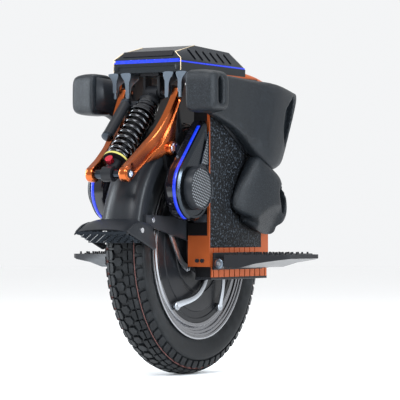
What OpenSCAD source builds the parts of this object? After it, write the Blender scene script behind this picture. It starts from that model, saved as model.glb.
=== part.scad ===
// Electric unicycle with a linkage suspension.
// Places are given as [y, z] from the wheel's axle, with the front towards -Y.

/* [Wheel] */
// Outside diameter of the tyre
tyre_d = 508; // [480:1:620]
// Width of the tyre
tyre_w = 84; // [70:1:104]
// Diameter of the rim over its lips
rim_d = 366; // [330:1:400]
// Diameter inside the motor shell
motor_d = 302; // [250:1:310]
// Diameter of the fixed axle
axle_d = 20; // [16:0.5:26]

/* [Suspension] */
// Travel of the wheel along its guide rods
travel = 60; // [40:1:60]
// Lean of the guide rods, backwards from upright
rod_lean = 25; // [20:1:30]
// Diameter of each guide rod
rod_d = 12; // [10:0.5:14]
// Turn of the rocker over the full travel
rocker_turn = 26; // [20:1:28]
// Thickness of each rocker arm
arm_t = 13; // [10:0.5:16]
// Diameter of the rocker's pivot bolts
pivot_d = 12; // [8:0.5:14]
// Diameter of the cross shaft at the shock's foot
shaft_d = 12; // [10:0.5:14]
// Outside diameter of the coil spring
spring_d = 52; // [44:1:54]
// Diameter of the spring's wire
wire_d = 8; // [6:0.5:9]

/* [Body] */
// Depth of each battery case, across the unicycle
case_depth = 35.5; // [30:0.5:50]
// Reach of the battery cases in front of the axle
case_front = 80; // [70:1:90]
// Reach of the battery cases behind the axle
case_back = 161; // [140:1:180]
// Wall of the battery cases
case_wall = 3; // [2:0.5:4]
// Width of the head
head_w = 155; // [140:1:180]
// Height of the head above its tray
head_h = 38; // [30:1:50]
// Width of the light strips
strip_w = 7; // [5:0.5:9]
// Thickness of the body pads where they lie flat
pad_t = 26; // [18:1:34]
// Outside diameter of each speaker
speaker_d = 85; // [70:1:95]

/* [Pedals] */
// Width of each pedal, out from its hinge
pedal_w = 124; // [100:1:150]
// Length of each pedal along the unicycle
pedal_l = 198; // [170:1:230]
// Thickness of each pedal at its root
pedal_t = 26; // [20:1:32]
// Diameter of the hinge pins
pin_d = 8; // [6:0.5:10]

/* [Hidden] */
$fn = 96;

tyre_r = tyre_d / 2;
run_gap = 0.05;      // running clearance of a shaft in its bore, on the radius
seam = 0.3;          // clearance between neighbours that are only laid together
guard_r = tyre_r + 7;        // outside radius of the mudguards
lip_nose = 57;       // how far the fender lip stands out past the mudguard
lip_reach = guard_r + lip_nose;
guard_t = 2.5;
axle_z = tyre_r;
axle_y = (tyre_r + 64 - guard_r) / 2;

// Layers across the unicycle, from the middle outwards
guard_x = tyre_w / 2 + 3;
fork_x = guard_x + seam;
fork_t = 5.7;
rod_x = fork_x + fork_t + 6.5;
case_x = rod_x + 12;
side_x = case_x + case_depth;
arm_x = case_x - 1.5 - arm_t / 2;
shaft_x = 38;        // middle of the rocker arms at the cross shaft
hinge_x = side_x + 15;

// Heights from the axle
head_z = tyre_r + 93;        // underside of the head's tray
tray_h = 19;
case_z = -36;                // underside of the battery cases
rail_z = case_z - 21;        // underside of the heat plates
rail_t = 5;
hinge_z = -30;

// Joints of the suspension, as [y, z] from the axle
function around(gap, angle) = (tyre_r + gap) * [cos(angle), sin(angle)];
function turned(v, a) = [v[0] * cos(a) - v[1] * sin(a), v[0] * sin(a) + v[1] * cos(a)];
ear = around(-4.1, 128.34);
foot = around(62.6, 152.95);
tip = around(81.4, 112.4);
shock_top = around(75.1, 110.6);
bend = around(28, 131.5);
shock_v = shock_top - foot;
shock_len = norm(shock_v);
shock_a = atan2(shock_v[1], shock_v[0]);
rise = travel * [sin(rod_lean), cos(rod_lean)];
// Path of the rocker's tip pin in the fork, for k from 0 at rest to 1 at full travel
function tip_in_fork(k) = ear + turned(tip - ear, -rocker_turn * k) - rise * k;

module from_axle() { translate([0, axle_y, axle_z]) children(); }
module pair() { children(); mirror([1, 0, 0]) children(); }
module right_hand() { mirror([1, 0, 0]) children(); }
// A plate with an outline in [y, z], from x0 to x1
module plate(x0, x1) { translate([x0, 0, 0]) rotate([90, 0, 90]) linear_extrude(x1 - x0) children(); }
// A round bar across the unicycle at p = [y, z]
module bar(x0, x1, r, p = [0, 0]) {
    translate([x0, p[0], p[1]]) rotate([0, 90, 0]) cylinder(h = x1 - x0, r = r);
}
// A block from corner a to corner b
module block(a, b) { translate(a) cube(b - a); }
// A ring turned about the axle from a section drawn as [radius, x]
module wheel_ring(angle = 360, start = 0) {
    rotate([0, 90, 0]) rotate([0, 0, start]) rotate_extrude(angle = angle, $fn = 180) children();
}
// Frame of the shock: Z runs from its foot to its top, Y points back and down
module along_shock() { translate([0, foot[0], foot[1]]) rotate([shock_a - 90, 0, 0]) children(); }
// Frame of the guide rods, with Z along the wheel's travel
module along_rods() { rotate([-rod_lean, 0, 0]) children(); }
function mirrored(half) = concat(half, [for (i = [len(half) - 1:-1:0]) [half[i][0], -half[i][1]]]);

// ---- Wheel ----

tread_r = 60;        // radius of the tyre's crown across its width
module tyre_section() {
    w = tyre_w / 2;
    rim_r = rim_d / 2;
    crown = tyre_r - tread_r;
    outside = concat(
        [for (a = [0:6:36]) [crown + tread_r * cos(a), (w - 7) / sin(36) * sin(a)]],
        [[tyre_r - 21, w - 3], [tyre_r - 32, w], [tyre_r - 42, w], [tyre_r - 56, w - 2.5],
         [rim_r + 5, w - 6], [rim_r + 1, 34], [rim_r - 7.5, 34]]);
    inside = [[rim_r - 8.2, 25], [rim_r + 2, 26], [rim_r + 16, w - 11], [tyre_r - 46, w - 8],
              [tyre_r - 30, w - 9], [tyre_r - 16, w - 18], [tyre_r - 10, w / 3]];
    polygon(concat(outside, inside, [for (i = [len(inside) - 1:-1:0]) [inside[i][0], -inside[i][1]]],
        [for (i = [len(outside) - 1:-1:1]) [outside[i][0], -outside[i][1]]]));
}
module tyre() { color([0.1, 0.11, 0.12]) from_axle() wheel_ring() tyre_section(); }

module rim() {
    r = rim_d / 2;
    m = motor_d / 2;
    half = [[r - 19, 0], [r - 19, 15], [r - 10, 23], [r - 8.2, 34.3], [r, 34.5], [r, 38],
            [r - 11, 38], [r - 17, 31], [m + 7, 25], [m + 7, 31], [m, 31]];
    color([0.62, 0.63, 0.65]) from_axle() wheel_ring() polygon(mirrored(half));
}

bearing_r = 23.5;
bearing_w = 14;
cover_x = 25;
module motor_covers() {
    m = motor_d / 2;
    color([0.12, 0.12, 0.13]) from_axle() pair() wheel_ring()
        polygon([[bearing_r, cover_x], [m, cover_x], [m, 30], [m - 20, 30], [m - 40, 31],
                 [64, 34], [56, 34], [52, 41], [bearing_r, 41]]);
}

spoke_n = 5;
spoke_hole_r = 144;  // radius of the circle of bolt holes at the spokes' ends
module spoke(bow = 105) {
    a = [spoke_hole_r, 0];
    b = 66 * [cos(66), sin(66)];
    v = b - a;
    chord = norm(v);
    centre = (a + b) / 2 + [-v[1], v[0]] / chord * sqrt(bow * bow - chord * chord / 4);
    linear_extrude(4) difference() {
        union() {
            translate(a) circle(9);
            translate(b) circle(9);
            intersection() {
                translate(centre) difference() {
                    circle(bow + 7, $fn = 180);
                    circle(bow - 7, $fn = 180);
                }
                polygon([centre, a + (a - centre) * 0.3, (a + b) - centre, b + (b - centre) * 0.3]);
            }
        }
        translate(a) circle(4);
    }
    // Stand-off between the spoke's end and the motor's cover
    translate([a[0], 0, -4]) linear_extrude(4) difference() {
        circle(7);
        circle(4);
    }
}
module hub_spokes() {
    color([0.72, 0.74, 0.76]) from_axle() pair() translate([34, 0, 0]) rotate([90, 0, 90])
        for (i = [0:spoke_n - 1]) rotate([0, 0, 160 + i * 360 / spoke_n]) spoke();
}
module wheel_bearings() {
    color("silver") from_axle() pair() wheel_ring()
        polygon([[axle_d / 2 + run_gap, 26], [bearing_r - run_gap, 26],
                 [bearing_r - run_gap, 26 + bearing_w], [axle_d / 2 + run_gap, 26 + bearing_w]]);
}

// ---- Wheel carrier ----

module axle() {
    color("silver") from_axle() difference() {
        bar(-66, 66, axle_d / 2);
        bar(20, 67, 4);
    }
}
module motor_stator() {
    color([0.65, 0.4, 0.2]) from_axle() difference() {
        union() {
            bar(-20, 20, motor_d / 2 - 12);
            bar(-24, 24, 30);
        }
        bar(-25, 25, axle_d / 2);
        pair() for (i = [0:5]) rotate([60 * i, 0, 0]) bar(-21, 21, 22, [82, 0]);
    }
}
slide_y = 50;        // half the distance between the two guide rods of a side
slide_l = 64;
stay_r = 0.88 * guard_r;     // reach of the stays that carry the mudguards
slot_r = 4.7;        // half the width of the slot for the rocker's pin
function slot_side(k) =
    let (v = tip_in_fork(k + 0.01) - tip_in_fork(k - 0.01)) [-v[1], v[0]] / norm(v);
module fork() {
    t = fork_t;
    x = fork_x;
    difference() {
        union() {
            bar(x, x + t, 30);
            plate(x, x + t) polygon([[-62, 22], [-30, 0], [0, -30], [46, -30], [68, -14],
                [84, 38], [10, 78], [-38, 74], [-72, 200], tip_in_fork(1) + [14, -12],
                tip + [12, 8], tip + [4, 12], tip + [-8, 8], tip_in_fork(1) + [-14, -12], [-104, 120]]);
            plate(x, x + t) polygon([[-40, 10], [-62, 22], [-104, 120], [-84, 62],
                [-stay_r, 66], [-stay_r, 46]]);
            plate(x, x + t) polygon([[60, 0], [84, 38], [stay_r, 66], [stay_r, 48]]);
            along_rods() for (s = [-1, 1]) {
                translate([rod_x, s * slide_y, 0]) cylinder(h = slide_l, r = rod_d / 2 + 4);
                block([x, s * slide_y - 9, 0], [rod_x, s * slide_y + 9, slide_l]);
            }
        }
        along_rods() for (s = [-1, 1])
            translate([rod_x, s * slide_y, -1]) cylinder(h = slide_l + 2, r = rod_d / 2 + run_gap);
        bar(x - 1, x + t + 30, axle_d / 2 + run_gap);
        plate(x - 1, x + t + 1) {
            polygon(concat([for (k = [0:0.1:1.01]) tip_in_fork(k) + slot_r * slot_side(k)],
                           [for (k = [1:-0.1:-0.01]) tip_in_fork(k) - slot_r * slot_side(k)]));
            for (k = [0, 1]) translate(tip_in_fork(k)) circle(slot_r);
        }
    }
}
module fork_left() { color([0.16, 0.17, 0.18]) from_axle() fork(); }
module fork_right() { color([0.16, 0.17, 0.18]) from_axle() right_hand() fork(); }
module axle_clamps() {
    color([0.35, 0.36, 0.38]) from_axle() pair() difference() {
        plate(fork_x + fork_t, fork_x + fork_t + 9) square([46, 34], center = true);
        bar(fork_x, fork_x + 20, axle_d / 2 + run_gap);
    }
}

module guard_section(t) {
    r = guard_r;
    x = guard_x;
    outer = [[r - 34, x], [r - 22, x], [r - 12, x - 5], [r - 4, x - 16], [r, x - 32]];
    polygon(concat(outer, [for (i = [4:-1:0]) [outer[i][0], -outer[i][1]]],
        [for (i = [0:4]) [outer[i][0] - (i > 1 ? t : 0), -outer[i][1] + (i < 4 ? t : 0)]],
        [for (i = [4:-1:0]) [outer[i][0] - (i > 1 ? t : 0), outer[i][1] - (i < 4 ? t : 0)]]));
}
// A stretch of mudguard between two angles, counted from the back, over the top, to the front
module guard_arc(from, to) {
    rotate([90, 0, 90]) rotate([0, 0, from]) rotate_extrude(angle = to - from, $fn = 180)
        guard_section(guard_t);
}
module front_mudguard() {
    color([0.13, 0.14, 0.15]) from_axle() guard_arc(122, 171);
}
module rear_mudguard() {
    color([0.13, 0.14, 0.15]) from_axle() guard_arc(-6, 70);
}
lip_x = 60;
lip_bolt = [-lip_reach + 55, 36];
module lip_hull(d) {
    y0 = guard_r;
    hull() {
        for (s = [-1, 1]) {
            translate([s * (guard_x + 4 - d), -y0 + 6 + d, 56 - d]) sphere(1, $fn = 12);
            translate([s * (lip_x - d), -lip_reach + 32 + d, 48 - d]) sphere(1.5, $fn = 12);
            translate([s * (lip_x - 2 - d), -lip_reach + 2 + d, 33 - d / 2]) sphere(1.5, $fn = 12);
            translate([s * (lip_x - d), -y0 + 51 - d, -2]) sphere(1.5, $fn = 12);
            translate([s * (lip_x - 8 - d), -y0 + 44 - d, 42 - d]) sphere(1.5, $fn = 12);
        }
    }
}
module fender_lip() {
    color([0.2, 0.21, 0.23]) from_axle() difference() {
        lip_hull(0);
        translate([0, 0, -3]) lip_hull(3.2);
        bar(-guard_x - seam, guard_x + seam, guard_r + seam);
        pair() bar(lip_x - 4, lip_x + 5, 5, lip_bolt);
        pair() block([fork_x, -stay_r, 40], [fork_x + fork_t, -150, 70]);
    }
}
module fender_bolts() {
    color("silver") from_axle() pair() {
        bar(lip_x - 3, lip_x + 4, 5, lip_bolt);
        bar(fork_x + fork_t, fork_x + fork_t + 4, 5, [-guard_r * 0.8, 56]);
        bar(fork_x + fork_t, fork_x + fork_t + 4, 5, [guard_r * 0.8, 56]);
    }
}

// ---- Rocker ----

module arm_disc(x, p, r, t = arm_t) { bar(x - t / 2, x + t / 2, r, p, $fn = 32); }
module rocker_arm() {
    difference() {
        union() {
            hull() {
                arm_disc(shaft_x, foot, 15.5, arm_t + 1);
                arm_disc(arm_x - 3, bend, 14.5);
            }
            hull() {
                arm_disc(arm_x - 3, bend, 14.5);
                arm_disc(arm_x, (bend + tip) / 2, 12);
            }
            hull() {
                arm_disc(arm_x, (bend + tip) / 2, 12);
                arm_disc(arm_x, tip, 10);
            }
            hull() {
                arm_disc(arm_x - 2, bend + [6, -2], 12);
                arm_disc(arm_x, ear, 15);
            }
        }
        bar(shaft_x - 12, shaft_x + 12, shaft_d / 2, foot);
        bar(arm_x - 12, arm_x + 12, pivot_d / 2, ear);
        bar(arm_x - 12, arm_x + 12, 4, tip);
    }
    // Guide pin that runs in the fork's slot
    bar(fork_x + 0.2, arm_x + arm_t / 2, 4, tip);
}
module rocker_arm_left() { color([0.72, 0.36, 0.2]) from_axle() rocker_arm(); }
module rocker_arm_right() { color([0.72, 0.36, 0.2]) from_axle() right_hand() rocker_arm(); }
module cross_shaft() {
    color("silver") from_axle() {
        bar(-shaft_x - arm_t / 2 - 2, shaft_x + arm_t / 2 + 2, shaft_d / 2, foot);
    }
}
eye_w = 22;
module shaft_sleeves() {
    color([0.3, 0.31, 0.33]) from_axle() pair() difference() {
        bar(eye_w / 2 + seam, shaft_x - arm_t / 2 - 0.5 - seam, 9, foot);
        bar(0, shaft_x, shaft_d / 2, foot);
    }
}
lug_x = fork_x + 0.7;
lug_t = 6.7;
// Heel of the rocker's bracket, which lies against the battery case
heel_x = case_x + 9;
heel_y = ear[0] + 20;
heel_low = ear[1] - 74;
heel_high = ear[1] - 26;
bolt_end = arm_x + arm_t / 2 + 8;
module pivot_bolts() {
    color([0.75, 0.78, 0.84]) from_axle() pair() {
        bar(lug_x, arm_x + arm_t / 2, pivot_d / 2, ear);
        bar(arm_x + arm_t / 2, bolt_end, 10.5, ear, $fn = 6);
    }
}
module rocker_brackets() {
    color([0.2, 0.21, 0.22]) from_axle() pair() difference() {
        union() {
            bar(lug_x, lug_x + lug_t, 14, ear);
            plate(lug_x, lug_x + lug_t) polygon([ear + [-12, -8], ear + [12, 8], ear + [34, -32],
                ear + [34, -70], ear + [18, -70]]);
            block([lug_x, heel_y, ear[1] - 70], [heel_x, ear[0] + 34, ear[1] - 32]);
            block([case_x + 0.5, heel_y, heel_low], [heel_x, -case_front, heel_high]);
        }
        bar(lug_x - 1, lug_x + lug_t + 1, pivot_d / 2 + run_gap, ear);
    }
}

// ---- Shock absorber ----

spring_low = 38;
spring_high = 163;
shaft_end = 118;
top_eye = 12.8;
module shock_shaft() {
    color([0.16, 0.16, 0.17]) from_axle() along_shock() difference() {
        union() {
            rotate([0, 90, 0]) cylinder(h = eye_w, r = 15, center = true);
            translate([0, 0, 10]) cylinder(h = 22, r = 13);
            translate([0, 0, 32]) cylinder(h = spring_low - 32, r = spring_d / 2 + 0.5);
            cylinder(h = shaft_end, r = 6);
        }
        rotate([0, 90, 0]) cylinder(h = eye_w + 2, r = shaft_d / 2 + 1.6, center = true);
        translate([0, -11, 20]) rotate([90, 0, 0]) cylinder(h = 14, r = 3 + run_gap);
    }
}
module rebound_knob() {
    color([0.75, 0.12, 0.16]) from_axle() along_shock() translate([0, -13.2, 20]) rotate([90, 0, 0]) {
        cylinder(h = 10, r = 8);
        translate([0, 0, -2.1]) cylinder(h = 3, r = 3);
    }
}
module shock_spring() {
    coil_r = (spring_d - wire_d) / 2;
    turns = 8;
    pitch = (spring_high - spring_low - wire_d) / (turns - 1);
    color([0.08, 0.08, 0.09]) from_axle() along_shock() {
        for (i = [0:turns - 1]) translate([0, 0, spring_low + wire_d / 2 + i * pitch])
            rotate_extrude($fn = 48) translate([coil_r, 0]) circle(r = wire_d / 2, $fn = 24);
        // Thin link that joins the rings into one piece
        translate([0, coil_r, spring_low + 2]) cylinder(h = spring_high - spring_low - 4, r = 1.5, $fn = 24);
    }
}
reservoir = [-35, -20];
module shock_body() {
    color([0.1, 0.1, 0.11]) from_axle() along_shock() difference() {
        union() {
            translate([0, 0, 92]) cylinder(h = spring_high - 92, r = 16.5);
            translate([0, 0, spring_high]) cylinder(h = 6, r = spring_d / 2 + 1);
            translate([0, 0, spring_high + 6]) cylinder(h = 36, r = 21);
            translate([0, 0, 204]) cylinder(h = shock_len - 204, r = 11);
            translate([0, 0, shock_len]) rotate([0, 90, 0]) cylinder(h = 2 * top_eye, r = 15, center = true);
            translate([reservoir[0], reservoir[1], 84]) cylinder(h = 102, r = 10.5);
            block([reservoir[0], -18, 176], [0, -4, 190]);
        }
        translate([0, 0, 91]) cylinder(h = 60, r = 6 + run_gap);
        translate([0, 0, shock_len]) rotate([0, 90, 0])
            cylinder(h = 2 * top_eye + 2, r = 5 + run_gap, center = true);
    }
}
module shock_mount() {
    lug = 6;
    p = shock_top;
    color([0.2, 0.21, 0.22]) from_axle() difference() {
        union() {
            block([-22, p[0] - 20, head_z - 6], [22, p[0] + 20, head_z]);
            pair() {
                bar(top_eye + 0.7, top_eye + 0.7 + lug, 13, p);
                block([top_eye + 0.7, p[0] - 13, p[1]], [top_eye + 0.7 + lug, p[0] + 13, head_z - 3]);
            }
        }
        bar(-30, 30, 5, p);
    }
}

// ---- Battery cases ----

grip_back = 131;     // rear edge of the grip panels
grip_low = 2;        // lower edge of the grip panels
// Side outline of a battery case, drawn d inside its outer faces
module case_outline(d, back = case_back) {
    corner = back == case_back ? 47 : 0;
    polygon([[-case_front + d, case_z + d], [back - d, case_z + d], [back - d, head_z - corner - d / 2],
             [back - corner - d / 2, head_z - d], [-case_front + d, head_z - d]]);
}
module case_box() {
    w = case_wall;
    difference() {
        plate(case_x, side_x) case_outline(0);
        plate(case_x + w, side_x - w - 1) case_outline(w);
        intersection() {
            plate(side_x - w - 2, side_x + 1) case_outline(w);
            block([0, -300, -200], [300, grip_back, 500]);
        }
    }
    // End blocks that hold the guide rods
    difference() {
        along_rods() for (s = [-1, 1], z = [-12, slide_l + travel + 2])
            block([rod_x - 5, s * slide_y - 9, z], [case_x + 1, s * slide_y + 9, z + 10]);
        along_rods() for (s = [-1, 1])
            translate([rod_x, s * slide_y, -15]) cylinder(h = slide_l + travel + 40, r = rod_d / 2);
    }
    // Front flange that reaches in towards the wheel
    block([case_x - 14, -case_front, case_z], [case_x + 1, -case_front + w, 50]);
}
module case_left() { color([0.72, 0.33, 0.17]) from_axle() case_box(); }
module case_right() { color([0.72, 0.33, 0.17]) from_axle() right_hand() case_box(); }
module grip_panel() {
    w = case_wall;
    intersection() {
        plate(side_x - w, side_x) case_outline(w + seam);
        block([0, -300, grip_low], [300, grip_back - seam, 500]);
    }
}
module grip_panel_left() { color([0.1, 0.1, 0.11]) from_axle() grip_panel(); }
module grip_panel_right() { color([0.1, 0.1, 0.11]) from_axle() right_hand() grip_panel(); }
stand_span = 120;    // distance between the stand's bolt holes on each side
stand_mid = 40;
stand_x = (case_x + side_x) / 2;
module heat_plates() {
    w = case_wall;
    color([0.72, 0.33, 0.17]) from_axle() pair() difference() {
        union() {
            block([case_x - 5, -case_front + 14, rail_z], [side_x - 3, case_back - 1, case_z]);
            block([side_x - w, -case_front + w + seam, case_z + w + seam],
                  [side_x, grip_back - seam, grip_low - seam]);
        }
        for (i = [0:10]) block([side_x - 6, -case_front + 20 + i * 21, rail_z - 1],
                               [side_x + 1, -case_front + 23 + i * 21, case_z + 1]);
        for (i = [0:8]) block([side_x - 1.5, -case_front + 14 + i * 21, case_z],
                              [side_x + 1, -case_front + 17 + i * 21, grip_low]);
        for (s = [-1, 1]) translate([stand_x, stand_mid + s * stand_span / 2, rail_z - 1])
            cylinder(h = 19, r = 4.2);
    }
}
module base_rails() {
    color([0.08, 0.08, 0.09]) from_axle() pair() difference() {
        block([case_x - 5, -case_front + 12, rail_z - rail_t], [side_x - 3, case_back, rail_z]);
        for (s = [-1, 1]) translate([stand_x, stand_mid + s * stand_span / 2, rail_z - rail_t - 1])
            cylinder(h = rail_t + 2, r = 4.2);
    }
}
module battery_packs() {
    w = case_wall;
    color([0.15, 0.3, 0.5]) from_axle() pair()
        plate(case_x + w, side_x - w - 1) intersection() {
            case_outline(w);
            translate([-case_front, case_z]) square([case_front + case_back - 8, head_z - case_z - 12]);
        }
}
module guide_rods() {
    color("silver") from_axle() pair() along_rods() for (s = [-1, 1])
        translate([rod_x, s * slide_y, -12]) cylinder(h = slide_l + travel + 24, r = rod_d / 2);
}
module case_bolts() {
    color([0.05, 0.05, 0.06]) from_axle() pair() for (x = [case_x + 8, case_x + 20])
        translate([x, -case_front, -24]) rotate([90, 0, 0]) cylinder(h = 4, r = 4);
}

// ---- Head ----

head_x = head_w / 2;
head_front = 145;    // reach of the head in front of the axle
head_back = 114;     // and behind it
cover_z = head_z + tray_h;
module head_tray() {
    w = 3;
    color([0.2, 0.22, 0.24]) from_axle() difference() {
        block([-head_x, -head_front, head_z], [head_x, head_back, cover_z]);
        block([-head_x + w, -head_front + w, head_z + w], [head_x - w, head_back - w, cover_z + 1]);
        pair() tube(handle_at(0), handle_at(1), handle_r);
        // Slots that the fork's horns rise through
        pair() block([fork_x - 3, tip[0] - 16, head_z - 1],
                     [fork_x + fork_t + 3, tip[0] + 50, head_z + w + 1]);
    }
}
// Angular cover: d is how far inside the outer faces it lies
module cover_hull(d) {
    hull() {
        for (s = [-1, 1]) {
            translate([s * (head_x - d), -head_front + 1 + d, cover_z + strip_w + 1]) cube(0.01, center = true);
            translate([s * (head_x - d), head_back - d, cover_z + 0.5]) cube(0.01, center = true);
            translate([s * (head_x - d), -head_front + 1 + d, cover_z]) cube(0.01, center = true);
            translate([s * (head_x - 17 - d), -head_front + 8 + d, cover_z + 21 - d]) cube(0.01, center = true);
            translate([s * (head_x - 17 - d), -64, cover_z + head_h - d]) cube(0.01, center = true);
            translate([s * (head_x - 17 - d), 75 - d, cover_z + head_h - 5 - d]) cube(0.01, center = true);
        }
    }
}
button = [0, 48];    // place of the power button on the head
vent = [30, 8, 24];  // depth, width and length of a cooling slot
module head_cover() {
    color([0.13, 0.14, 0.15]) from_axle() difference() {
        cover_hull(0);
        translate([0, 0, -0.5]) cover_hull(3);
        // Recesses for the light strips and the front panel
        block([-head_x - 1, -head_front - 1, cover_z - 1],
              [head_x + 1, -head_front + 6, cover_z + strip_w + 0.5]);
        pair() block([head_x - 4, -head_front - 1, cover_z - 1], [head_x + 1, head_back + 1, cover_z + 3.5]);
        light_panel(run_gap);
        // Cooling slots in the side facets
        pair() for (i = [0:5]) translate([head_x - 11, -92 + i * 29, cover_z + 17])
            rotate([35, 0, 0]) cube(vent, center = true);
        translate([0, button[1], cover_z]) cylinder(h = head_h + 5, r = 9 + seam);
        block([-22, -14, cover_z + head_h - 12], [22, 20, cover_z + head_h + 5]);
    }
}
module head_light_strips() {
    color([0.05, 0.2, 0.95]) from_axle() {
        block([-head_x + 4 + seam, -head_front, cover_z],
              [head_x - 4 - seam, -head_front + 5.5, cover_z + strip_w]);
        pair() block([head_x - 4 + seam, -head_front, cover_z], [head_x, head_back - 1, cover_z + 3.2]);
    }
}
// The dark panel in the cover's front, grown by g
module light_panel(g = 0) {
    x = head_x - 20 + g;
    translate([0, -head_front + 4.2, cover_z + strip_w + 6]) rotate([-32, 0, 0])
        block([-x, -3 - g, -1 - g], [x, -0.2 + g, 11 + g]);
}
module headlight_panel() { color([0.02, 0.02, 0.025]) from_axle() light_panel(); }
module control_board() {
    color([0.05, 0.3, 0.15]) from_axle() {
        block([-38, -60, head_z + 3], [38, 90, head_z + 16]);
        for (i = [0:3]) block([-34 + i * 20, -50, head_z + 16], [-26 + i * 20, 30, head_z + 30]);
    }
}
module display() {
    color([0.3, 0.33, 0.36]) from_axle()
        block([-21.7, -13.7, cover_z + head_h - 9], [21.7, 19.7, cover_z + head_h + 1.5]);
}
module power_button() {
    color([0.25, 0.26, 0.28]) from_axle() translate([0, button[1], cover_z + head_h - 9]) cylinder(h = 10, r = 9);
}
module claw_plates() {
    z0 = head_z - 50;
    y0 = -head_front + 1;
    color([0.55, 0.58, 0.62]) from_axle() pair() {
        for (x = [[fork_x - 7.5, fork_x + 8], [case_x + 0.5, case_x + 9]]) {
            block([x[0], y0, z0], [x[1], y0 + 3.5, head_z]);
            plate(x[0], x[0] + 6) polygon([[y0, z0], [y0 + 3.5, z0], [y0 + 12, head_z - 24],
                [y0 + 40, head_z - 10], [y0 + 40, head_z], [y0, head_z]]);
        }
    }
}

// ---- Speaker pods ----

pod_in = case_x + 0.5;
pod_out = side_x - 1;
module teardrop(x0, x1, d = 0) {
    hull() {
        bar(x0, x1, 62 - d, [-135, 117], $fn = 64);
        bar(x0, x1, 7 - d / 4, [-case_front - 9, 246], $fn = 24);
    }
}
module pod_block() { block([0, -260, 0], [200, -case_front - 0.3, 300]); }
module pod() {
    difference() {
        intersection() {
            hull() {
                bar(pod_in - 9, pod_in, 48, [-132, 106], $fn = 64);
                teardrop(pod_in + 3, pod_out - 7);
                teardrop(pod_out - 1, pod_out, 5);
            }
            pod_block();
        }
        intersection() {
            teardrop(pod_in - 20, pod_out - 3, 5);
            block([0, -260, 0], [200, -case_front - 2, 300]);
        }
        bar(pod_out - 5, pod_out + 1, speaker_d / 2 + seam, [-133, 118.5]);
        // Room for the pivot bolt and for the bracket's heel
        bar(pod_in - 10, bolt_end + 1.5, 13, ear);
        block([pod_in - 1, heel_y - seam, heel_low - seam],
              [heel_x + seam, -case_front + 1, heel_high + seam]);
        // Groove for the light strip
        intersection() {
            difference() {
                teardrop(pod_out - 14, pod_out - 14 + strip_w, -5);
                teardrop(pod_out - 15, pod_out, 1.5);
            }
            pod_block();
        }
    }
}
module pod_left() { color([0.05, 0.05, 0.06]) from_axle() pod(); }
module pod_right() { color([0.05, 0.05, 0.06]) from_axle() right_hand() pod(); }
module pod_light_strips() {
    color([0.05, 0.2, 0.95]) from_axle() pair() intersection() {
        difference() {
            teardrop(pod_out - 14 + 0.1, pod_out - 14 + strip_w - 0.1, 0);
            teardrop(pod_out - 15, pod_out, 1.4);
        }
        block([0, -260, 0], [200, -case_front - 22, 300]);
        block([0, -260, 58], [200, 0, 236]);
    }
}
module speakers() {
    x = side_x + 15;
    color([0.07, 0.07, 0.08]) from_axle() pair() difference() {
        union() {
            bar(pod_out - 8, x, speaker_d / 2, [-133, 118.5]);
            bar(pod_in + 14, pod_out - 7, 28, [-133, 118.5]);
        }
        bar(pod_out, x + 1, speaker_d / 2 - 3.5, [-133, 118.5]);
    }
}
module speaker_grilles() {
    x = side_x + 15;
    color([0.5, 0.52, 0.55]) from_axle() pair() bar(x - 4, x - 0.5, speaker_d / 2 - 3.5, [-133, 118.5]);
}
module mesh_inserts() {
    color([0.3, 0.32, 0.35]) from_axle() pair()
        plate(pod_out, pod_out + 1.5)
            polygon([[-case_front - 6, 170], [-case_front - 6, 222], [-case_front - 28, 170]]);
}

// ---- Pads ----

pad_in = side_x + 1.5;
module soft(x, y, z, r) { translate([x, y, z]) sphere(r, $fn = 20); }
module upper_pad() {
    out = pad_in + pad_t;
    union() {
        hull() {
            for (z = [head_z - 70, head_z - 12]) {
                soft(pad_in + 12, -168, z, 11);
                soft(pad_in + 50, -164, z - 2, 11);
                soft(pad_in + 50, -132, z - 2, 10);
                soft(pad_in + 12, -100, z, 11);
            }
        }
        hull() {
            for (z = [head_z - 74, head_z - 14]) {
                soft(pad_in + 11, -100, z, 11);
                soft(pad_in + 14, 0, z - 8, 11);
            }
            soft(pad_in + 11, 60, 190, 10);
            soft(pad_in + 11, 118, 322, 10);
        }
        hull() {
            soft(pad_in + 11, 60, 190, 10);
            soft(pad_in + 11, 40, 318, 10);
            soft(pad_in + 11, 150, 170, 9);
            soft(pad_in + 11, 214, 306, 9);
            soft(pad_in + 34, 178, 296, 8);
            soft(pad_in + 26, 160, 220, 8);
        }
    }
}
module lower_pad() {
    hull() {
        soft(pad_in + 10, 61, 168, 10);
        soft(pad_in + 10, 14, 88, 10);
        soft(pad_in + 10, 128, 42, 10);
        soft(pad_in + 10, 158, 122, 10);
        soft(pad_in + 38, 128, 96, 9);
        soft(pad_in + 28, 70, 130, 9);
    }
}
module upper_pad_left() { color([0.17, 0.19, 0.21]) from_axle() upper_pad(); }
module upper_pad_right() { color([0.17, 0.19, 0.21]) from_axle() right_hand() upper_pad(); }
module lower_pad_left() { color([0.17, 0.19, 0.21]) from_axle() lower_pad(); }
module lower_pad_right() { color([0.17, 0.19, 0.21]) from_axle() right_hand() lower_pad(); }
module pad_plates() {
    color([0.12, 0.11, 0.12]) from_axle() pair() {
        plate(side_x, side_x + 1.2) polygon([[-165, head_z - 70], [-165, head_z - 6], [110, head_z - 16],
            [200, head_z - 46], [150, 175], [60, 195], [-60, head_z - 82]]);
        plate(side_x, side_x + 1.2) polygon([[62, 182], [14, 88], [128, 42], [158, 122]]);
    }
}

// ---- Rear handle and light ----

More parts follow.
